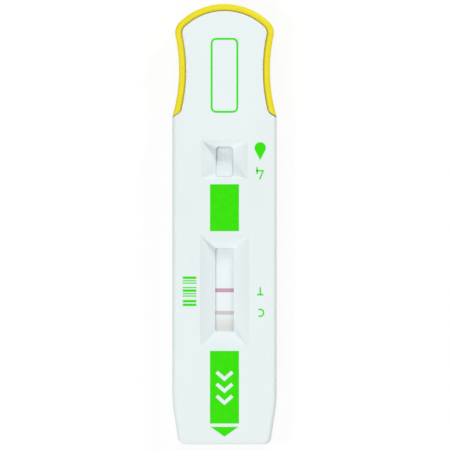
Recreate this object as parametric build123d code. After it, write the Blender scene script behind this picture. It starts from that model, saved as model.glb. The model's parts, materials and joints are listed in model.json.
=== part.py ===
"""Lateral flow cassette: two moulded shells pressed together over a test strip, with a banded grip.

X runs across. Y runs along, with the grip end at +Y and the end that goes into a reader at -Y. Z is up.
"""
import os
from math import cos, radians, sqrt, tan

from build123d import *

# Plan of the cassette, seen from above
length = 96.0
body_width = 22.7
head_radius = 14.15
shoulder_radius = 3.3
waist_depth = 1.45
waist_radius = 36.0
waist_from_grip_end = 14.4
taper_length = 9.4
taper_inset = 1.4
taper_blend = 20.0
end_corner = 1.6
least_inner_corner = 0.5

# Heights and walls of the two shells
housing_height = 5.2
parting_height = 2.6
side_wall = 1.5
top_plate = 1.2
floor = 1.2
draft_angle = 1.0
top_edge_round = 1.0
grip_edge_round = 0.35
base_edge_bevel = 0.4

# Lap joint between the shells
lip_thickness = 0.5
lip_height = 0.6
lip_clearance = 0.08

# Rim band round the grip end, with a tongue held between the shells
band_width = 1.45
band_cut_angle = 31.0
band_step_round = 1.2
band_proud = 0.2
band_base_height = 0.25
band_bead_bevel = 0.45
band_crown_bevel = 0.2
band_base_bevel = 0.35
tongue_depth = 0.5
tongue_height = 0.7
tongue_clearance = 0.04
tongue_end_gap = 1.0

# Pins of the upper shell in sockets of the lower shell
pin_radius = 1.0
pin_tip_gap = 0.2
pin_clearance = 0.03
socket_radius = 1.6
socket_depth = 1.2
socket_wall_gap = 0.25
head_pin_from_end = 7.5
step_pin_drop = 3.9
taper_pin_drop = 3.0

# Sample well: a funnel with one long and one short slope, down to the sample pad
well_mouth_width = 10.15
well_mouth_length = 8.6
well_mouth_from_window = 12.07
well_mouth_corner = 0.5
well_hole_width = 3.75
well_hole_length = 6.63
well_hole_short_slope = 0.54
well_hole_corner = 0.8

# Read window: a funnel with four long slopes, down to the membrane
window_mouth_width = 10.7
window_mouth_length = 24.5
window_mouth_from_end = 21.2
window_mouth_corner = 0.5
window_hole_width = 4.05
window_hole_length = 18.15
window_hole_end_slope = 3.45
window_hole_corner = 0.4

funnel_wall = 0.9
funnel_lip_height = 0.3
window_gap_over_membrane = 0.15

# Test strip, laid on a backing card
strip_width = 5.0
strip_from_end = 4.5
strip_length = 65.0
card_thickness = 0.3
membrane_thickness = 0.2
sample_pad_thickness = 0.45
conjugate_pad_thickness = 0.35
absorbent_pad_thickness = 0.9
pad_overlap = 2.0
pad_ramp = 0.6
pad_lip_gap = 0.9

# Bed that holds the strip in the lower shell
bed_height = 0.7
bed_rib_width = 0.8
bed_rib_pitch = 8.0
rail_thickness = 0.8
rail_above_card = 0.2
rail_clearance = 0.1

# Bars under the upper shell that press the pads on to the membrane
press_bar_width = 1.0
press_bar_inset = 0.3
absorbent_bar_pitch = 7.0

# Ink on the top face
ink_thickness = 0.04
ink_width = 6.3
panel_from_well = 1.06
panel_length = 10.2
label_from_window = 0.8
label_length = 15.8
arrow_gap = 0.75
arrow_width = 6.0
arrow_length = 2.1

# Places that follow from the sizes above
half_width = body_width / 2
grip_end_y = length / 2
insertion_end_y = -length / 2
waist_y = grip_end_y - waist_from_grip_end
taper_y = insertion_end_y + taper_length
band_tip_y = waist_y - sqrt(waist_depth * (2 * waist_radius - waist_depth))
plate_underside = housing_height - top_plate
card_bottom = floor + bed_height
card_top = card_bottom + card_thickness
membrane_top = card_top + membrane_thickness
sample_pad_top = card_top + sample_pad_thickness
window_lip_bottom = membrane_top + window_gap_over_membrane
window_mouth_low_y = insertion_end_y + window_mouth_from_end
window_mouth_y = window_mouth_low_y + window_mouth_length / 2
window_hole_low_y = window_mouth_low_y + window_hole_end_slope
window_hole_y = window_hole_low_y + window_hole_length / 2
well_mouth_low_y = window_mouth_low_y + window_mouth_length + well_mouth_from_window
well_mouth_y = well_mouth_low_y + well_mouth_length / 2
well_hole_y = well_mouth_low_y + well_hole_short_slope + well_hole_length / 2
strip_low_y = insertion_end_y + strip_from_end
strip_high_y = strip_low_y + strip_length
absorbent_high_y = window_hole_low_y - funnel_wall - pad_lip_gap
membrane_low_y = absorbent_high_y - pad_overlap
conjugate_low_y = window_hole_y + window_hole_length / 2 + funnel_wall + pad_lip_gap
membrane_high_y = conjugate_low_y + pad_overlap
conjugate_high_y = well_hole_y - well_hole_length / 2 - funnel_wall - pad_lip_gap
sample_low_y = conjugate_high_y - pad_overlap
pin_x = half_width - side_wall - socket_wall_gap - socket_radius


def upright(plan, low, high):
    """Solid standing straight on a plan."""
    return extrude(Pos(0, 0, low) * plan, amount=high - low)


def rising(plan, low, high):
    """Solid standing on a plan and drawing in by the draft as it rises."""
    solid = upright(plan, low, high)
    return draft(solid.faces().filter_by(Axis.Z, reverse=True), Plane.XY.offset(low), draft_angle)


def hanging(plan, high, low):
    """Solid hanging from a plan and drawing in by the draft as it goes down."""
    return Pos(0, 0, high) * mirror(rising(plan, 0, high - low), about=Plane.XY)


def block(width, low_y, high_y, low, high):
    """Rectangular bar centred across the cassette."""
    middle = (low_y + high_y) / 2
    return upright(Pos(0, middle) * Rectangle(width, high_y - low_y), low, high)


def pillar(place, radius, low, high):
    """Round pillar at a place in the plan."""
    return upright(Pos(*place) * Circle(radius), low, high)


def silhouette(inset=0.0):
    """Outline drawn in by an inset: round head, hollowed waist, straight body, tapered insertion end."""
    head = Pos(0, grip_end_y - head_radius) * Circle(head_radius - inset)
    head &= Pos(0, waist_y) * Rectangle(4 * head_radius, length, align=(Align.CENTER, Align.MIN))
    body = Polygon(
        (-half_width, waist_y + shoulder_radius),
        (-half_width, taper_y),
        (-half_width + taper_inset, insertion_end_y),
        (half_width - taper_inset, insertion_end_y),
        (half_width, taper_y),
        (half_width, waist_y + shoulder_radius),
        align=None,
    )
    plan = head + (offset(body, -inset, kind=Kind.INTERSECTION) if inset else body)
    waist_centre_x = half_width - waist_depth + waist_radius
    for side in (-1, 1):
        plan -= Pos(side * waist_centre_x, waist_y) * Circle(waist_radius + inset)
    shoulders = plan.vertices().filter_by(lambda corner: corner.Y > waist_y)
    plan = fillet(shoulders, shoulder_radius - inset)
    taper_starts = plan.vertices().group_by(Axis.Y)[1]
    plan = fillet(taper_starts, taper_blend - inset)
    end_corners = plan.vertices().group_by(Axis.Y)[0]
    return fillet(end_corners, max(end_corner - inset, least_inner_corner))


def below_band(drop=0.0):
    """Region of the plan on the body side of the slanted cuts that end the band."""
    rise = tan(radians(band_cut_angle))
    reach = body_width
    tip_y = band_tip_y - drop
    return Polygon(
        (0, tip_y + half_width * rise),
        (reach, tip_y - (reach - half_width) * rise),
        (reach, -length),
        (-reach, -length),
        (-reach, tip_y - (reach - half_width) * rise),
        align=None,
    )


def housing_plan(inset=0.0):
    """Plan of the shells: the outline, stepped in by the band's width round the grip."""
    body = silhouette(inset) & below_band(inset / cos(radians(band_cut_angle)))
    plan = body + silhouette(band_width + inset)
    lines = plan.edges().filter_by(GeomType.LINE).filter_by(Axis.Y, reverse=True)
    cuts = lines.filter_by(lambda line: line.center().Y > taper_y)
    inner_corners = [min(cut.vertices(), key=lambda corner: abs(corner.X)) for cut in cuts]
    return fillet(inner_corners, band_step_round + inset)


def above_band_ends(rise):
    """Region of the plan round the grip, starting a little above the slanted ends of the band."""
    return Rectangle(4 * length, 4 * length) - below_band(-rise)


def grip_ring(depth, rise):
    """Strip of the housing's plan that runs along its edge round the grip."""
    return (housing_plan() - housing_plan(depth)) & above_band_ends(rise)


def pin_places():
    """Where the pins stand: one in the head, and pairs below the step, by the window and in the taper."""
    pairs = (
        (pin_x, band_tip_y - step_pin_drop),
        (pin_x, window_mouth_y),
        (pin_x - taper_inset, taper_y - taper_pin_drop),
    )
    places = [(0, grip_end_y - head_pin_from_end)]
    places += [(side * x, y) for x, y in pairs for side in (-1, 1)]
    return places


def socket(place):
    """Round socket that stands on the floor of the lower shell."""
    bore = pillar(place, pin_radius + pin_clearance, parting_height - socket_depth, parting_height)
    return pillar(place, socket_radius, floor, parting_height) - bore


def pin(place):
    """Pin that hangs from the top plate into its socket."""
    return pillar(place, pin_radius, parting_height - socket_depth + pin_tip_gap, plate_underside)


def strip_bed():
    """Frame of rails round the strip, with cross ribs that the backing card lies on."""
    width = strip_width + 2 * rail_clearance
    reach = strip_length + 2 * rail_clearance
    rails = Rectangle(width + 2 * rail_thickness, reach + 2 * rail_thickness) - Rectangle(width, reach)
    middle = (strip_low_y + strip_high_y) / 2
    bed = upright(Pos(0, middle) * rails, floor, card_top + rail_above_card)
    count = int(strip_length // bed_rib_pitch)
    for index in range(count):
        y = middle + (index - (count - 1) / 2) * bed_rib_pitch
        bed += block(width, y - bed_rib_width / 2, y + bed_rib_width / 2, floor, card_bottom)
    return bed


def bottom_housing():
    """Lower shell: a tray with a lap lip, the strip bed and the sockets."""
    shell = hanging(housing_plan(), parting_height, 0)
    shell = chamfer(shell.edges().group_by(Axis.Z)[0], base_edge_bevel)
    inner_plan = housing_plan(side_wall)
    shell -= hanging(inner_plan, parting_height, floor)
    lip_plan = housing_plan(side_wall - lip_thickness) - inner_plan
    shell += upright(lip_plan, parting_height, parting_height + lip_height)
    groove = grip_ring(tongue_depth + tongue_clearance, tongue_end_gap - tongue_clearance)
    shell -= upright(groove, parting_height - tongue_height / 2 - tongue_clearance, parting_height)
    shell += strip_bed()
    for place in pin_places():
        shell += socket(place)
    return shell


def opening(width, reach, y, corner):
    """Plan of a round-cornered opening, and of the square block that walls it in."""
    void = Pos(0, y) * RectangleRounded(width, reach, corner)
    wall = Pos(0, y) * Rectangle(width + 2 * funnel_wall, reach + 2 * funnel_wall)
    return void, wall


def funnel(mouth, hole, lip_bottom):
    """Sloped throat from a mouth in the top face to a rim round the hole, with a straight lip below."""
    rim = lip_bottom + funnel_lip_height
    throat = loft([Pos(0, 0, rim) * hole, Pos(0, 0, housing_height) * mouth], ruled=True)
    return throat + upright(hole, lip_bottom, rim)


def funnels():
    """Voids and walls of the sample well and the read window."""
    well_mouth = opening(well_mouth_width, well_mouth_length, well_mouth_y, well_mouth_corner)
    well_hole = opening(well_hole_width, well_hole_length, well_hole_y, well_hole_corner)
    window_mouth = opening(window_mouth_width, window_mouth_length, window_mouth_y, window_mouth_corner)
    window_hole = opening(window_hole_width, window_hole_length, window_hole_y, window_hole_corner)
    voids = [
        funnel(well_mouth[0], well_hole[0], sample_pad_top),
        funnel(window_mouth[0], window_hole[0], window_lip_bottom),
    ]
    walls = [
        funnel(well_mouth[1], well_hole[1], sample_pad_top),
        funnel(window_mouth[1], window_hole[1], window_lip_bottom),
    ]
    return voids, walls


def press_bars():
    """Bars that hold each pad down on its neighbour, and the absorbent pad on the card."""
    absorbent_y = (strip_low_y + absorbent_high_y) / 2
    bars = (
        ((sample_low_y + conjugate_high_y) / 2, sample_pad_top + conjugate_pad_thickness),
        ((conjugate_low_y + membrane_high_y) / 2, membrane_top + conjugate_pad_thickness),
        (absorbent_y - absorbent_bar_pitch / 2, card_top + absorbent_pad_thickness),
        (absorbent_y + absorbent_bar_pitch / 2, card_top + absorbent_pad_thickness),
    )
    width = strip_width - 2 * press_bar_inset
    reach = press_bar_width / 2
    return [block(width, y - reach, y + reach, low, plate_underside) for y, low in bars]


def rounded_cover():
    """Drafted block of the upper shell, its top edge rounded more finely where it runs beside the band."""
    cover = rising(housing_plan(), parting_height, housing_height)
    body_rim = cover.edges().group_by(Axis.Z)[-1].filter_by(lambda edge: edge.center().Y < band_tip_y)
    cover = fillet(body_rim, top_edge_round)
    grip_rim = cover.edges().group_by(Axis.Z)[-1].filter_by(lambda edge: edge.center().Y > band_tip_y)
    return fillet(grip_rim, grip_edge_round)


def top_housing():
    """Upper shell: a drafted cover with the two funnels, the pins and the press bars."""
    shell = rounded_cover()
    shell -= rising(housing_plan(side_wall), parting_height, plate_underside)
    rebate = housing_plan(side_wall - lip_thickness - lip_clearance)
    shell -= upright(rebate, parting_height, parting_height + lip_height + lip_clearance)
    groove = grip_ring(tongue_depth + tongue_clearance, tongue_end_gap - tongue_clearance)
    shell -= upright(groove, parting_height, parting_height + tongue_height / 2 + tongue_clearance)
    voids, walls = funnels()
    for piece in walls + press_bars():
        shell += piece
    for void in voids:
        shell -= void
    for place in pin_places():
        shell += pin(place)
    return shell


def grip_band():
    """Rim band with a crowned bead on top and a tongue that the shells close on."""
    band_top = housing_height + band_proud
    ring = silhouette() - silhouette(band_width)
    ring &= Pos(0, band_tip_y - 2 * band_width) * Rectangle(
        2 * body_width, length, align=(Align.CENTER, Align.MIN)
    )
    band = upright(ring, band_base_height, band_top)
    for level, bevel in ((-1, band_bead_bevel), (-1, band_crown_bevel), (0, band_base_bevel)):
        rim_edges = band.edges().group_by(Axis.Z)[level].filter_by(Axis.X, reverse=True)
        band = chamfer(rim_edges, bevel)
    band -= upright(housing_plan(), 0, 2 * band_top)
    tongue = grip_ring(tongue_depth, tongue_end_gap)
    return band + upright(tongue, parting_height - tongue_height / 2, parting_height + tongue_height / 2)


def laid_pad(far_y, lap_over_y, lap_end_y, step, thickness):
    """Pad that lies on the card from far_y and climbs on to its neighbour's end between two places."""
    ramp = pad_ramp if far_y > lap_end_y else -pad_ramp
    foot = [
        (far_y, card_top),
        (lap_over_y + ramp, card_top),
        (lap_over_y, card_top + step),
        (lap_end_y, card_top + step),
    ]
    crown = [(y, z + thickness) for y, z in reversed(foot)]
    profile = make_face(Polyline(*foot, *crown, close=True))
    return extrude(Plane.YZ * profile, strip_width / 2, both=True)


def printed_fields():
    """Films of ink: the panel between well and window, the label block and the arrow beyond it."""
    panel_high_y = well_mouth_low_y - panel_from_well
    label_high_y = window_mouth_low_y - label_from_window
    arrow_y = label_high_y - label_length - arrow_gap
    ink_top = housing_height + ink_thickness
    arrow = Polygon(
        (-arrow_width / 2, arrow_y),
        (0, arrow_y - arrow_length),
        (arrow_width / 2, arrow_y),
        align=None,
    )
    fields = [
        block(ink_width, panel_high_y - panel_length, panel_high_y, housing_height, ink_top),
        block(ink_width, label_high_y - label_length, label_high_y, housing_height, ink_top),
        upright(arrow, housing_height, ink_top),
    ]
    return Compound(children=fields)


parts = {
    "bottom_housing": bottom_housing(),
    "top_housing": top_housing(),
    "grip_band": grip_band(),
    "backing_card": block(strip_width, strip_low_y, strip_high_y, card_bottom, card_top),
    "membrane": block(strip_width, membrane_low_y, membrane_high_y, card_top, membrane_top),
    "conjugate_pad": laid_pad(
        conjugate_high_y, membrane_high_y, conjugate_low_y, membrane_thickness, conjugate_pad_thickness
    ),
    "sample_pad": laid_pad(
        strip_high_y, conjugate_high_y, sample_low_y, conjugate_pad_thickness, sample_pad_thickness
    ),
    "absorbent_pad": laid_pad(
        strip_low_y, membrane_low_y, absorbent_high_y, membrane_thickness, absorbent_pad_thickness
    ),
    "printed_fields": printed_fields(),
}

os.makedirs("parts", exist_ok=True)
for name, part in parts.items():
    export_step(part, f"parts/{name}.step")
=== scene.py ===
"""Looks of the lateral flow cassette: rounded edges, finishes, printed signs, light and camera."""
import json
from math import acos, ceil, cos, degrees, floor, radians, sin

import bmesh
import bpy
from mathutils import Matrix, Vector
from mathutils.noise import noise as noise_at


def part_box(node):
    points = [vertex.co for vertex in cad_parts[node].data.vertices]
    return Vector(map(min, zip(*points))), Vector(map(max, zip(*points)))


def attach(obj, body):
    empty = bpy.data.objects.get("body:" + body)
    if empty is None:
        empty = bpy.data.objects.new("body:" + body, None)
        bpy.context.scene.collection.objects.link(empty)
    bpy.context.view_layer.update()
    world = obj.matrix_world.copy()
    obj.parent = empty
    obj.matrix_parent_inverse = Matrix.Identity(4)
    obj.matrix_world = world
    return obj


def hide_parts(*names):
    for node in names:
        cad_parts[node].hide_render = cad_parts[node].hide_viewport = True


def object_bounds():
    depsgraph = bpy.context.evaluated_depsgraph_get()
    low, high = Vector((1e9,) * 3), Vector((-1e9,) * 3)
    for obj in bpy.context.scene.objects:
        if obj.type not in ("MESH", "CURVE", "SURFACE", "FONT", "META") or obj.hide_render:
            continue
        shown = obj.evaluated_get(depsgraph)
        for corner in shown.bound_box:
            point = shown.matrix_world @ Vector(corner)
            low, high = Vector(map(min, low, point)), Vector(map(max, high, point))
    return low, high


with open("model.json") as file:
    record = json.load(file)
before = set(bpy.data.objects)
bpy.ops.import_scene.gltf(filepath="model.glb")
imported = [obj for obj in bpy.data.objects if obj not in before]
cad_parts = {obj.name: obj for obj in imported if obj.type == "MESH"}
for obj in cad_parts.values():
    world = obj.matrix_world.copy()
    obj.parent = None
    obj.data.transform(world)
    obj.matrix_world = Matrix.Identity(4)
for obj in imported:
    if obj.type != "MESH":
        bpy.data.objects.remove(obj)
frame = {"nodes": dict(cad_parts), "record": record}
cad_low, cad_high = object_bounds()
record = frame["record"]

MM = 0.001
SNAP = 0.002 * MM
CUT_SNAP = SNAP / 10

# Heights in the frame
TOP_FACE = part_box("printed_fields")[0].z
INK_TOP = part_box("printed_fields")[1].z
mounts = {mount["name"]: mount["pos_m"] for mount in record["mounts"]}
PARTING = mounts["reader_nose"][2]

# Hole of the sample well, with the sizes of the solid
HOLE_Y = 13.625 * MM
HOLE_HALF_WIDTH = 1.875 * MM
HOLE_HALF_LENGTH = 3.315 * MM
HOLE_CORNER = 0.8 * MM

# Rounded edges of the mouldings: width, steps, and least angle between their faces in degrees
MOUTH_ROUND = 0.3 * MM
RIM_ROUND = 0.08 * MM
SEAM_ROUND = 0.12 * MM
BEAD_ROUND = 0.09 * MM
MOUTH_STEPS = 4
EDGE_STEPS = 2
MOUTH_ANGLE = 15.0
SEAM_ANGLE = 45.0
BEAD_ANGLE = 12.0
BEAD_LOW = PARTING * 1.5

# How far faces look up: 0 for a wall and 1 for a level face
LIP_FACING = 0.02
SLOPE_STEEPEST = 0.2
SLOPE_FLATTEST = 0.9
LAYER_FACING = 0.5

# Painted shade along the band's inner slope, an amber line where the band meets the shell: it
# starts at the first facing and is full at the second
SHADE_MARK = "painted_groove_shade"
SHADE_FLATTEST = 0.85
SHADE_STEEPEST = 0.5

# Angles between faces, in degrees: joined below the first, shaded as sharp above the others
FLAT_ANGLE = 0.2
SHELL_SHARP = 32.0
LAYER_SHARP = 60.0

# Values of noise that give the start and the end of a range
NOISE_LOW = 0.3
NOISE_HIGH = 0.7

# Finishes: specular level, roughness, and how far noise shades the colour
HOUSING_SPECULAR = 0.22
HOUSING_ROUGH = 0.6
BAND_SPECULAR = 0.25
BAND_ROUGH = 0.42
CARD_SPECULAR = 0.4
CARD_ROUGH = 0.5
MOULD_ROUGH_SPREAD = 0.05
MOULD_TINTS = (0.985, 1.015)
INK_SPECULAR = 0.06
INK_ROUGH = (0.55, 0.65)
INK_TINTS = (0.96, 1.04)
PAD_SPECULAR = 0.2
PAD_ROUGH = (0.95, 0.85)
PAD_TINTS = (0.93, 1.03)
MEMBRANE_SPECULAR = 0.3
MEMBRANE_ROUGH = (0.7, 0.8)
MEMBRANE_TINTS = (0.985, 1.01)

# Mould marks and print: size and stretch of their features, and height of their relief
FLOW_SIZE = 11 * MM
FLOW_STRETCH = (1.0, 0.35, 1.0)
GRAIN_SIZE = 0.11 * MM
GRAIN_RELIEF = 0.004 * MM
INK_CLOUD = 1.4 * MM
INK_GRAIN = 0.2 * MM
INK_RELIEF = 0.003 * MM

# Unevenness of the absorbent layers
PAD_CELL = 0.0625 * MM
PAD_RELIEF = 0.035 * MM
PAD_BULGE = 0.27 * MM
PAD_CLEAR = 0.01 * MM
PAD_EDGE = 0.05 * MM
PAD_SINK = 0.38 * MM
PAD_SINK_REACH = 1.5 * MM
PAD_SINK_RIGHT = 0.75
FIBRE_WIDTH = 0.14 * MM
FIBRE_LENGTH = 0.9 * MM
FIBRE_CREST = 0.6
ACROSS_NOISE = 5.0
FIBRE_SHADE_SIZE = 0.4 * MM
FIBRE_SHADE_STRETCH = 0.15
FIBRE_SHADE_RELIEF = 0.02 * MM
MEMBRANE_CELL = 0.3 * MM
MEMBRANE_RELIEF = 0.006 * MM
MEMBRANE_WAVE = 1.6 * MM
MEMBRANE_CLOUD = 3.3 * MM
PORE_SIZE = 0.17 * MM
PORE_RELIEF = 0.008 * MM

# Lines in the membrane
TEST_LINE_Y = -14.4 * MM
CONTROL_LINE_Y = -19.3 * MM
LINE_WIDTH = 0.85 * MM
LINE_BLUR = 0.12 * MM
WET_LENGTH = 2.5 * MM

# Printed signs: places in metres, and pen strokes in millimetres about a sign's middle
SIGN_X = 7.78 * MM
PEN = 0.3 * MM
DROP_Y = 16.65 * MM
DROP_RADIUS = 1.22 * MM
DROP_TIP_Y = 14.0 * MM
DROP_STEPS = 32
COUNT_Y = 11.1 * MM
COUNT_STROKES = (
    ((-0.13, -1.3), (0.67, 0.56), (-0.88, 0.56)),
    ((-0.68, -0.15), (-0.68, 1.35)),
)
TEST_STROKES = (((0.02, 0.7), (0.02, -0.8)), ((-0.68, -0.95), (0.67, -0.95)))
CONTROL_RADIUS = 0.75 * MM
CONTROL_REACH = 120.0
CONTROL_STEPS = 24
BAR_LEFT_X = -9.1 * MM
BAR_RIGHT_X = -6.15 * MM
BAR_TOP_Y = -11.4 * MM
THICK = 0.5 * MM
THIN = 0.22 * MM
BAR_GAP = 0.3 * MM
GROUP_GAP = 0.75 * MM
BAR_GROUPS = ((THICK, THIN, THIN), (THIN, THICK, THIN, THIN), (THICK, THICK))
HEAD_TOP_Y = -32.2 * MM
HEAD_PITCH = 2.6 * MM
HEAD_COUNT = 3
HEAD_HALF_WIDTH = 1.7 * MM
HEAD_DROP = 1.5 * MM
HEAD_PEN = 0.75 * MM
WHITE_INK = 0.01 * MM
FIELD_HALF_WIDTH = 2.8 * MM
FIELD_LOW_Y = 24.5 * MM
FIELD_HIGH_Y = 40.4 * MM
FIELD_CORNER = 1.0 * MM
CORNER_STEPS = 8
FIELD_PEN = 0.4 * MM

# Colours, linear
HOUSING_WHITE = (0.81, 0.88, 0.88)
BAND_YELLOW = (0.86, 0.745, 0.012)
# Painted shade for the groove between the band and the shell
BAND_PAINTED_SHADE = (0.27, 0.14, 0.004)
INK_GREEN = (0.045, 0.76, 0.003)
MEMBRANE_WHITE = (0.80, 0.855, 0.865)
MEMBRANE_WET = (0.78, 0.80, 0.77)
TEST_PINK = (0.55, 0.32, 0.43)
CONTROL_PINK = (0.59, 0.54, 0.57)
PAD_WHITE = (0.80, 0.87, 0.87)
FLOOR_PALE = (0.5, 0.5, 0.5)
PURE_WHITE = (1.0, 1.0, 1.0)

# Floor, just below the object so that the underside shows from below
FLOOR_HALF = 1.5
FLOOR_DROP = 0.02 * MM
SHADOW_SHARE = 0.3

# Even light from all round, and soft lights: heading and height in degrees, width in metres, watts
AMBIENT = 0.355
LIGHT_DISTANCE = 0.6
LIGHTS = (
    ("upper_light", 55.0, 23.5, 0.10, 1.50),
    ("top_light", 92.0, 62.0, 0.10, 0.53),
    ("left_light", 192.0, 48.0, 0.10, 0.98),
    ("lower_light", 264.0, 25.0, 0.12, 1.25),
)

# Camera straight above the object
LENS = 900.0
SENSOR = 36.0
VIEW_WIDTH = 98.04 * MM
VIEW_X = 0.11 * MM
VIEW_Y = -0.16 * MM


def add_node(tree, kind, **settings):
    """Adds a shader node, with sockets set by name and node options by attribute."""
    node = tree.nodes.new(kind)
    for name, value in settings.items():
        if name in node.inputs:
            node.inputs[name].default_value = value
        else:
            setattr(node, name, value)
    return node


def shade(color, factor=1.0):
    """A colour made lighter or darker, with alpha added."""
    return tuple(min(1.0, channel * factor) for channel in color) + (1.0,)


def new_material(name, specular):
    """A material, with its node tree, its Principled shader and its object coordinates."""
    material = bpy.data.materials.new(name)
    material.use_nodes = True
    tree = material.node_tree
    shader = tree.nodes["Principled BSDF"]
    shader.inputs["Specular IOR Level"].default_value = specular
    coordinates = add_node(tree, "ShaderNodeTexCoord")
    return material, tree, shader, coordinates.outputs["Object"]


def cloud(tree, vector, size, detail=3.0, stretch=None):
    """Noise in object space with features of about a size, in metres."""
    if stretch:
        mapping = add_node(tree, "ShaderNodeMapping", Scale=stretch)
        tree.links.new(vector, mapping.inputs["Vector"])
        vector = mapping.outputs["Vector"]
    node = add_node(tree, "ShaderNodeTexNoise", Scale=1 / size, Detail=detail)
    tree.links.new(vector, node.inputs["Vector"])
    return node.outputs["Fac"]


def spread(tree, factor, low, high):
    """Maps a noise factor on to a range of plain values."""
    limits = {"From Min": NOISE_LOW, "From Max": NOISE_HIGH, "To Min": low, "To Max": high}
    node = add_node(tree, "ShaderNodeMapRange", **limits)
    tree.links.new(factor, node.inputs["Value"])
    return node.outputs["Result"]


def tint(tree, factor, color, tints):
    """Makes a colour darker and lighter by a noise factor."""
    ramp = add_node(tree, "ShaderNodeValToRGB")
    positions = (NOISE_LOW, NOISE_HIGH)
    for element, position, share in zip(ramp.color_ramp.elements, positions, tints):
        element.position = position
        element.color = shade(color, share)
    tree.links.new(factor, ramp.inputs["Fac"])
    return ramp.outputs["Color"]


def bump(tree, shader, height, distance):
    """Small relief on the surface."""
    node = add_node(tree, "ShaderNodeBump", Distance=distance)
    tree.links.new(height, node.inputs["Height"])
    tree.links.new(node.outputs["Normal"], shader.inputs["Normal"])


def moulded(name, color, roughness, specular, painted_shade_color=None):
    """Satin moulded plastic: faint flow mottling in colour and sheen, a fine mould grain, and
    painted shade over marked faces when a shade colour is given.
    """
    material, tree, shader, place = new_material(name, specular)
    flow = cloud(tree, place, FLOW_SIZE, stretch=FLOW_STRETCH)
    surface = tint(tree, flow, color, MOULD_TINTS)
    if painted_shade_color:
        # Painted shade: a darker colour laid over the faces marked on the band's inner slope
        mark = add_node(tree, "ShaderNodeAttribute", attribute_name=SHADE_MARK)
        surface = lay_over(tree, mark.outputs["Fac"], surface, painted_shade_color)
    tree.links.new(surface, shader.inputs["Base Color"])
    sheen = spread(tree, flow, roughness - MOULD_ROUGH_SPREAD, roughness + MOULD_ROUGH_SPREAD)
    tree.links.new(sheen, shader.inputs["Roughness"])
    bump(tree, shader, cloud(tree, place, GRAIN_SIZE), GRAIN_RELIEF)
    return material


def printed(name, color):
    """Flat ink, with slight unevenness in its cover."""
    material, tree, shader, place = new_material(name, INK_SPECULAR)
    cover = cloud(tree, place, INK_CLOUD, detail=5.0)
    tree.links.new(tint(tree, cover, color, INK_TINTS), shader.inputs["Base Color"])
    tree.links.new(spread(tree, cover, *INK_ROUGH), shader.inputs["Roughness"])
    bump(tree, shader, cloud(tree, place, INK_GRAIN), INK_RELIEF)
    return material


def fibrous(name, color):
    """Absorbent pad: short fibres lying every way, in colour and relief."""
    material, tree, shader, place = new_material(name, PAD_SPECULAR)
    along = cloud(tree, place, FIBRE_SHADE_SIZE, stretch=(1.0, FIBRE_SHADE_STRETCH, 1.0))
    across = cloud(tree, place, FIBRE_SHADE_SIZE, stretch=(FIBRE_SHADE_STRETCH, 1.0, 1.0))
    crossing = add_node(tree, "ShaderNodeMath", operation="MAXIMUM")
    tree.links.new(along, crossing.inputs[0])
    tree.links.new(across, crossing.inputs[1])
    fibres = crossing.outputs["Value"]
    tree.links.new(tint(tree, fibres, color, PAD_TINTS), shader.inputs["Base Color"])
    tree.links.new(spread(tree, fibres, *PAD_ROUGH), shader.inputs["Roughness"])
    bump(tree, shader, fibres, FIBRE_SHADE_RELIEF)
    return material


def ease(tree, value, start, end):
    """Rises smoothly from 0 to 1 as a value goes from start to end."""
    limits = {"From Min": start, "From Max": end}
    node = add_node(tree, "ShaderNodeMapRange", interpolation_type="SMOOTHSTEP", **limits)
    tree.links.new(value, node.inputs["Value"])
    return node.outputs["Result"]


def lay_over(tree, factor, base, over):
    """Lays a plain colour over a base colour by a factor."""
    node = add_node(tree, "ShaderNodeMix", data_type="RGBA")
    base_socket, over_socket = [socket for socket in node.inputs if socket.type == "RGBA"]
    over_socket.default_value = shade(over)
    tree.links.new(factor, node.inputs["Factor"])
    tree.links.new(base, base_socket)
    return [socket for socket in node.outputs if socket.type == "RGBA"][0]


def porous(name, color):
    """Porous film with a test line and a control line in it, and a damp end beyond them."""
    material, tree, shader, place = new_material(name, MEMBRANE_SPECULAR)
    mottle = cloud(tree, place, MEMBRANE_CLOUD)
    surface = tint(tree, mottle, color, MEMBRANE_TINTS)
    split = add_node(tree, "ShaderNodeSeparateXYZ")
    tree.links.new(place, split.inputs["Vector"])
    along = split.outputs["Y"]
    wet = ease(tree, along, CONTROL_LINE_Y, CONTROL_LINE_Y - WET_LENGTH)
    surface = lay_over(tree, wet, surface, MEMBRANE_WET)
    for line_y, line_color in ((TEST_LINE_Y, TEST_PINK), (CONTROL_LINE_Y, CONTROL_PINK)):
        away = add_node(tree, "ShaderNodeMath", operation="SUBTRACT")
        away.inputs[1].default_value = line_y
        tree.links.new(along, away.inputs[0])
        distance = add_node(tree, "ShaderNodeMath", operation="ABSOLUTE")
        tree.links.new(away.outputs["Value"], distance.inputs[0])
        half = LINE_WIDTH / 2
        in_line = ease(tree, distance.outputs["Value"], half + LINE_BLUR, half - LINE_BLUR)
        surface = lay_over(tree, in_line, surface, line_color)
    tree.links.new(surface, shader.inputs["Base Color"])
    pores = cloud(tree, place, PORE_SIZE, detail=6.0)
    tree.links.new(spread(tree, pores, *MEMBRANE_ROUGH), shader.inputs["Roughness"])
    bump(tree, shader, pores, PORE_RELIEF)
    return material


def give(node_name, material):
    """Puts a material on a solid of the frame."""
    node = frame["nodes"][node_name]
    node.data.materials.clear()
    node.data.materials.append(material)


def welded(node_name):
    """Copy of a solid's mesh, as one closed skin with its flat facets joined."""
    shape = bmesh.new()
    shape.from_mesh(frame["nodes"][node_name].data)
    bmesh.ops.remove_doubles(shape, verts=shape.verts[:], dist=SNAP)
    bmesh.ops.dissolve_limit(
        shape, angle_limit=radians(FLAT_ANGLE), verts=shape.verts[:], edges=shape.edges[:]
    )
    shape.normal_update()
    return shape


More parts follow.
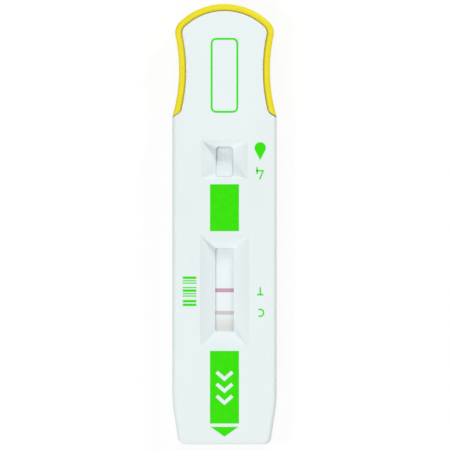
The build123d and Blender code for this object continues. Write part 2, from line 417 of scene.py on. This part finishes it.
def piece_from(shape, name, material):
    """Object made of a mesh in the making, riding on the cassette."""
    mesh = bpy.data.meshes.new(name)
    shape.to_mesh(mesh)
    shape.free()
    old_normals = mesh.attributes.get("custom_normal")
    if old_normals:
        mesh.attributes.remove(old_normals)
    mesh.materials.clear()
    mesh.materials.append(material)
    piece = bpy.data.objects.new(name, mesh)
    bpy.context.scene.collection.objects.link(piece)
    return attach(piece, "root")


def stand_for(node_name):
    """Hides the solid that a new piece takes the place of."""
    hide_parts(node_name)


def at_level(edge, height):
    """True for an edge that lies flat at a height."""
    return all(abs(vert.co.z - height) < SNAP for vert in edge.verts)


def is_mouth(edge):
    """Edge where a funnel opens in the top face."""
    return at_level(edge, TOP_FACE) and edge.calc_face_angle(0.0) > radians(MOUTH_ANGLE)


def is_rim(edge):
    """Edge between a funnel's slope and the straight lip below it."""
    lip, slope = sorted(face.normal.z for face in edge.link_faces)
    height = edge.verts[0].co.z
    is_between = abs(lip) < LIP_FACING and SLOPE_STEEPEST < slope < SLOPE_FLATTEST
    return at_level(edge, height) and PARTING < height and is_between


def from_spine(point):
    """Level way to a point from the nearest place on the cassette's lengthwise middle line."""
    spine_y = min(max(point.y, cad_low.y + cad_high.x), cad_high.y - cad_high.x)
    return Vector((point.x, point.y - spine_y, 0))


def is_seam(edge):
    """Edge of a shell along the outside of the parting line."""
    if not at_level(edge, PARTING) or edge.calc_face_angle(0.0) < radians(SEAM_ANGLE):
        return False
    wall = min((face.normal for face in edge.link_faces), key=lambda normal: abs(normal.z))
    middle = (edge.verts[0].co + edge.verts[1].co) / 2
    return wall.dot(from_spine(middle)) > 0


def is_bead(edge):
    """Edge along the crowned top of the band."""
    is_high = all(vert.co.z > BEAD_LOW for vert in edge.verts)
    return is_high and edge.calc_face_angle(0.0) > radians(BEAD_ANGLE)


def softened(name, node_name, material, *roundings):
    """Copy of a solid with some of its edges rounded, in place of the solid."""
    shape = welded(node_name)
    for is_chosen, width, segments in roundings:
        outer_edges = [edge for edge in shape.edges if edge.is_manifold and edge.is_convex]
        bmesh.ops.bevel(
            shape,
            geom=[edge for edge in outer_edges if is_chosen(edge)],
            offset=width,
            segments=segments,
            profile=0.5,
            affect="EDGES",
            clamp_overlap=True,
        )
        shape.normal_update()
    piece = piece_from(shape, name, material)
    piece.data.shade_smooth()
    piece.data.set_sharp_from_angle(angle=radians(SHELL_SHARP))
    piece.modifiers.new("even_shading", "WEIGHTED_NORMAL").keep_sharp = True
    stand_for(node_name)
    return piece


def paint_groove_shade(piece):
    """Marks the band's inner slope down to the shell for painted shade, the steeper the more."""
    marks = piece.data.attributes.new(SHADE_MARK, "FLOAT", "FACE")
    for face, mark in zip(piece.data.polygons, marks.data):
        is_inner = face.normal.dot(from_spine(face.center)) < 0 and face.center.z > PARTING
        steepness = smooth_share(face.normal.z, SHADE_FLATTEST, SHADE_STEEPEST)
        mark.value = steepness if is_inner else 0.0


def cut_cells(shape, axis, low, high, cell, start):
    """Cuts a mesh across one axis into strips of a cell's width, with a cut at a start place."""
    direction = Vector((0, 0, 0))
    direction[axis] = 1.0
    for index in range(ceil((low - start) / cell), floor((high - start) / cell) + 1):
        place = direction * (start + index * cell)
        everything = shape.verts[:] + shape.edges[:] + shape.faces[:]
        bmesh.ops.bisect_plane(
            shape, geom=everything, dist=CUT_SNAP, plane_co=place, plane_no=direction
        )
    shape.normal_update()


def looks_up(vert):
    """True for a point on the top of a layer, away from its edges."""
    return all(face.normal.z > LAYER_FACING for face in vert.link_faces)


def soft_layer(name, node_name, material, cell, height_at, start=(0.0, 0.0)):
    """Absorbent layer with an uneven top, in place of its plain solid."""
    shape = welded(node_name)
    low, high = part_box(node_name)
    for axis in (0, 1):
        cut_cells(shape, axis, low[axis], high[axis], cell, start[axis])
    for vert in [vert for vert in shape.verts if looks_up(vert)]:
        vert.co.z += height_at(vert.co)
    piece = piece_from(shape, name, material)
    piece.data.shade_smooth()
    piece.data.set_sharp_from_angle(angle=radians(LAYER_SHARP))
    stand_for(node_name)


def smooth_share(value, start, end):
    """Share of the way from start to end, eased at both ends and held between 0 and 1."""
    share = min(max((value - start) / (end - start), 0.0), 1.0)
    return share * share * (3 - 2 * share)


def depth_in_hole(point):
    """How far a point in the plan lies inside the round-cornered hole of the well."""
    over_x = abs(point.x) - (HOLE_HALF_WIDTH - HOLE_CORNER)
    over_y = abs(point.y - HOLE_Y) - (HOLE_HALF_LENGTH - HOLE_CORNER)
    past_corner = Vector((max(over_x, 0.0), max(over_y, 0.0))).length
    return HOLE_CORNER - past_corner - min(max(over_x, over_y), 0.0)


def pad_height(point):
    """Fibres of the sample pad, its swelling at the well's near end and its dent at the far end."""
    along = noise_at((point.x / FIBRE_WIDTH, point.y / FIBRE_LENGTH, 0.0))
    across = noise_at((point.x / FIBRE_LENGTH, point.y / FIBRE_WIDTH, ACROSS_NOISE))
    far_y = HOLE_Y + HOLE_HALF_LENGTH
    to_far_end = smooth_share(point.y, HOLE_Y - HOLE_HALF_LENGTH, far_y)
    to_left = smooth_share(point.x, HOLE_HALF_WIDTH, -HOLE_HALF_WIDTH)
    in_hole = smooth_share(depth_in_hole(point), PAD_CLEAR, PAD_CLEAR + PAD_EDGE)
    in_reach = smooth_share(point.y, far_y + PAD_SINK_REACH, far_y)
    bulge = PAD_BULGE * (1 - to_far_end) * in_hole
    leaning = PAD_SINK_RIGHT + (1 - PAD_SINK_RIGHT) * to_left
    sink = PAD_SINK * to_far_end * leaning * in_reach
    return PAD_RELIEF * (max(along, across) - FIBRE_CREST) + bulge - sink


def membrane_height(point):
    """Faint waves of the membrane, at or below its solid's top."""
    return MEMBRANE_RELIEF * (noise_at(point / MEMBRANE_WAVE) - 1.0)


def film(name, outlines, material, low=TOP_FACE, high=INK_TOP):
    """Thin printed film made of one or more closed outlines in the plan."""
    shape = bmesh.new()
    for outline in outlines:
        face = shape.faces.new([shape.verts.new((x, y, low)) for x, y in outline])
        raised = bmesh.ops.extrude_face_region(shape, geom=[face])
        lifted = [item for item in raised["geom"] if isinstance(item, bmesh.types.BMVert)]
        bmesh.ops.translate(shape, verts=lifted, vec=(0, 0, high - low))
    bmesh.ops.recalc_face_normals(shape, faces=shape.faces[:])
    return piece_from(shape, name, material)


def stroke(points, width, closed=False):
    """Outlines of a pen line along points: a four-sided piece for each step, mitred at turns."""
    points = [Vector(point) for point in points]
    count = len(points)
    sides = []
    for index, point in enumerate(points):
        before = points[index - 1] if closed or index else None
        after = points[(index + 1) % count] if closed or index < count - 1 else None
        steps = [end - start for start, end in ((before, point), (point, after)) if start and end]
        normals = [Vector((-step.y, step.x)).normalized() for step in steps]
        middle = sum(normals, Vector((0, 0))).normalized()
        reach = width / 2 / middle.dot(normals[0])
        sides.append((point + middle * reach, point - middle * reach))
    pairs = zip(sides, sides[1:] + sides[:1] if closed else sides[1:])
    return [[a[0], a[1], b[1], b[0]] for a, b in pairs]


def pen_sign(name, middle_y, strokes):
    """Sign beside the well or the window, from strokes in millimetres about its middle."""
    outlines = []
    for points in strokes:
        outlines += stroke([(SIGN_X + x * MM, middle_y + y * MM) for x, y in points], PEN)
    return film(name, outlines, ink)


def arc(centre, radius, start, end, steps):
    """Points along an arc, by angles in degrees."""
    angles = [radians(start + (end - start) * index / steps) for index in range(steps + 1)]
    return [(centre[0] + radius * cos(angle), centre[1] + radius * sin(angle)) for angle in angles]


def drop_outline(centre, radius, tip_y):
    """Round drop that runs out to a tip below it."""
    turn = degrees(acos(radius / (centre[1] - tip_y)))
    return arc(centre, radius, turn - 90, 270 - turn, DROP_STEPS) + [(centre[0], tip_y)]


def rounded_frame(half_width, low_y, high_y, corner):
    """Points round a rectangle with round corners."""
    places = (
        (half_width - corner, high_y - corner, 0),
        (corner - half_width, high_y - corner, 90),
        (corner - half_width, low_y + corner, 180),
        (half_width - corner, low_y + corner, 270),
    )
    points = []
    for x, y, start in places:
        points += arc((x, y), corner, start, start + 90, CORNER_STEPS)
    return points


def bar_outlines():
    """Rows of thick and thin bars, one group below another."""
    outlines = []
    y = BAR_TOP_Y
    for group in BAR_GROUPS:
        for bar in group:
            middle = y - bar / 2
            outlines += stroke([(BAR_LEFT_X, middle), (BAR_RIGHT_X, middle)], bar)
            y -= bar + BAR_GAP
        y -= GROUP_GAP - BAR_GAP
    return outlines


def head_outlines():
    """Plain arrowheads, one below another, that point to the insertion end."""
    outlines = []
    for index in range(HEAD_COUNT):
        y = HEAD_TOP_Y - index * HEAD_PITCH
        points = [(-HEAD_HALF_WIDTH, y), (0, y - HEAD_DROP), (HEAD_HALF_WIDTH, y)]
        outlines += stroke(points, HEAD_PEN)
    return outlines


def ray_is_seen(tree):
    """1 for rays from the camera, a reflection or a clear surface, else 0."""
    path = add_node(tree, "ShaderNodeLightPath")
    total = path.outputs["Is Camera Ray"]
    for name in ("Is Glossy Ray", "Is Transmission Ray"):
        larger = add_node(tree, "ShaderNodeMath", operation="MAXIMUM")
        tree.links.new(total, larger.inputs[0])
        tree.links.new(path.outputs[name], larger.inputs[1])
        total = larger.outputs["Value"]
    return total


def white_background(tree, strength):
    """World that lights the object evenly, and looks white to the camera and in reflections."""
    tree.nodes.clear()
    output = add_node(tree, "ShaderNodeOutputWorld")
    seen = add_node(tree, "ShaderNodeBackground", Color=shade(PURE_WHITE), Strength=1.0)
    lit = add_node(tree, "ShaderNodeBackground", Color=shade(PURE_WHITE), Strength=strength)
    chosen = add_node(tree, "ShaderNodeMixShader")
    tree.links.new(ray_is_seen(tree), chosen.inputs["Fac"])
    tree.links.new(lit.outputs["Background"], chosen.inputs[1])
    tree.links.new(seen.outputs["Background"], chosen.inputs[2])
    tree.links.new(chosen.outputs["Shader"], output.inputs["Surface"])


def floor_material(shadow_share):
    """Pale floor that looks white and still takes a share of the object's shadow."""
    material = bpy.data.materials.new("pale_floor")
    material.use_nodes = True
    tree = material.node_tree
    tree.nodes.clear()
    output = add_node(tree, "ShaderNodeOutputMaterial")
    matte = add_node(tree, "ShaderNodeBsdfDiffuse", Color=shade(FLOOR_PALE))
    white = (1.0 - shadow_share * FLOOR_PALE[0]) / (1.0 - shadow_share)
    glow = add_node(tree, "ShaderNodeEmission", Color=shade(PURE_WHITE), Strength=white)
    share = add_node(tree, "ShaderNodeMath", operation="MULTIPLY")
    share.inputs[1].default_value = 1.0 - shadow_share
    tree.links.new(ray_is_seen(tree), share.inputs[0])
    chosen = add_node(tree, "ShaderNodeMixShader")
    tree.links.new(share.outputs["Value"], chosen.inputs["Fac"])
    tree.links.new(matte.outputs["BSDF"], chosen.inputs[1])
    tree.links.new(glow.outputs["Emission"], chosen.inputs[2])
    tree.links.new(chosen.outputs["Shader"], output.inputs["Surface"])
    return material


def area_light(name, heading, height, width, power):
    """Soft square light that shines on the object from a heading and a height in degrees."""
    data = bpy.data.lights.new(name, "AREA")
    data.size = width
    data.energy = power
    light = bpy.data.objects.new(name, data)
    turned, raised = radians(heading), radians(height)
    back = Vector((cos(raised) * cos(turned), cos(raised) * sin(turned), sin(raised)))
    right = Vector((0, 0, 1)).cross(back).normalized()
    turn = Matrix((right, back.cross(right), back)).transposed()
    light.matrix_world = Matrix.LocRotScale(back * LIGHT_DISTANCE, turn, None)
    bpy.context.scene.collection.objects.link(light)


# Finishes, and the solids that stay as they are
housing = moulded("moulded_white", HOUSING_WHITE, HOUSING_ROUGH, HOUSING_SPECULAR)
band = moulded("moulded_yellow", BAND_YELLOW, BAND_ROUGH, BAND_SPECULAR, BAND_PAINTED_SHADE)
card = moulded("card_white", PAD_WHITE, CARD_ROUGH, CARD_SPECULAR)
pad = fibrous("pad_fibre", PAD_WHITE)
ink = printed("green_ink", INK_GREEN)
white_ink = printed("white_ink", HOUSING_WHITE)
give("printed_fields", ink)
give("conjugate_pad", pad)
give("absorbent_pad", pad)
give("backing_card", card)

# Shells, band and absorbent layers, in place of their solids
mouth_rounding = (is_mouth, MOUTH_ROUND, MOUTH_STEPS)
rim_rounding = (is_rim, RIM_ROUND, EDGE_STEPS)
seam_rounding = (is_seam, SEAM_ROUND, EDGE_STEPS)
bead_rounding = (is_bead, BEAD_ROUND, EDGE_STEPS)
softened("upper_shell", "top_housing", housing, mouth_rounding, rim_rounding, seam_rounding)
softened("lower_shell", "bottom_housing", housing, seam_rounding)
# The band's inner slope down to the shell gets painted shade
paint_groove_shade(softened("rim_band", "grip_band", band, bead_rounding))
hole_sides = (HOLE_HALF_WIDTH, HOLE_Y - HOLE_HALF_LENGTH)
soft_layer("sample_felt", "sample_pad", pad, PAD_CELL, pad_height, hole_sides)
membrane = porous("porous_membrane", MEMBRANE_WHITE)
soft_layer("membrane_film", "membrane", membrane, MEMBRANE_CELL, membrane_height)

# Signs beside the well and the window, an empty field to write in, and the block's arrowheads
control_centre = (SIGN_X, CONTROL_LINE_Y)
control_arc = arc(control_centre, CONTROL_RADIUS, -CONTROL_REACH, CONTROL_REACH, CONTROL_STEPS)
field_frame = rounded_frame(FIELD_HALF_WIDTH, FIELD_LOW_Y, FIELD_HIGH_Y, FIELD_CORNER)
green_signs = [
    film("drop_sign", [drop_outline((SIGN_X, DROP_Y), DROP_RADIUS, DROP_TIP_Y)], ink),
    pen_sign("drop_count_sign", COUNT_Y, COUNT_STROKES),
    pen_sign("test_sign", TEST_LINE_Y, TEST_STROKES),
    film("control_sign", stroke(control_arc, PEN), ink),
    film("bar_sign", bar_outlines(), ink),
    film("writing_field", stroke(field_frame, FIELD_PEN, closed=True), ink),
]
heads = film("label_arrowheads", head_outlines(), white_ink, INK_TOP, INK_TOP + WHITE_INK)

# Floor and light
corner_sides = ((-1, -1), (1, -1), (1, 1), (-1, 1))
ground_corners = [(x * FLOOR_HALF, y * FLOOR_HALF, -FLOOR_DROP) for x, y in corner_sides]
ground_mesh = bpy.data.meshes.new("floor")
ground_mesh.from_pydata(ground_corners, [], [(0, 1, 2, 3)])
ground_mesh.materials.append(floor_material(SHADOW_SHARE))
ground = bpy.data.objects.new("floor", ground_mesh)
bpy.context.scene.collection.objects.link(ground)
world = bpy.data.worlds.new("studio")
bpy.context.scene.world = world
world.use_nodes = True
white_background(world.node_tree, AMBIENT)
for name, heading, height, width, power in LIGHTS:
    area_light(name, heading, height, width, power)

# Camera
camera_data = bpy.data.cameras.new("camera")
camera_data.lens = LENS
camera_data.sensor_width = SENSOR
camera = bpy.data.objects.new("camera", camera_data)
camera.location = (VIEW_X, VIEW_Y, TOP_FACE + VIEW_WIDTH * LENS / SENSOR)
bpy.context.scene.collection.objects.link(camera)
bpy.context.scene.camera = camera
bpy.context.scene.view_settings.view_transform = "Standard"
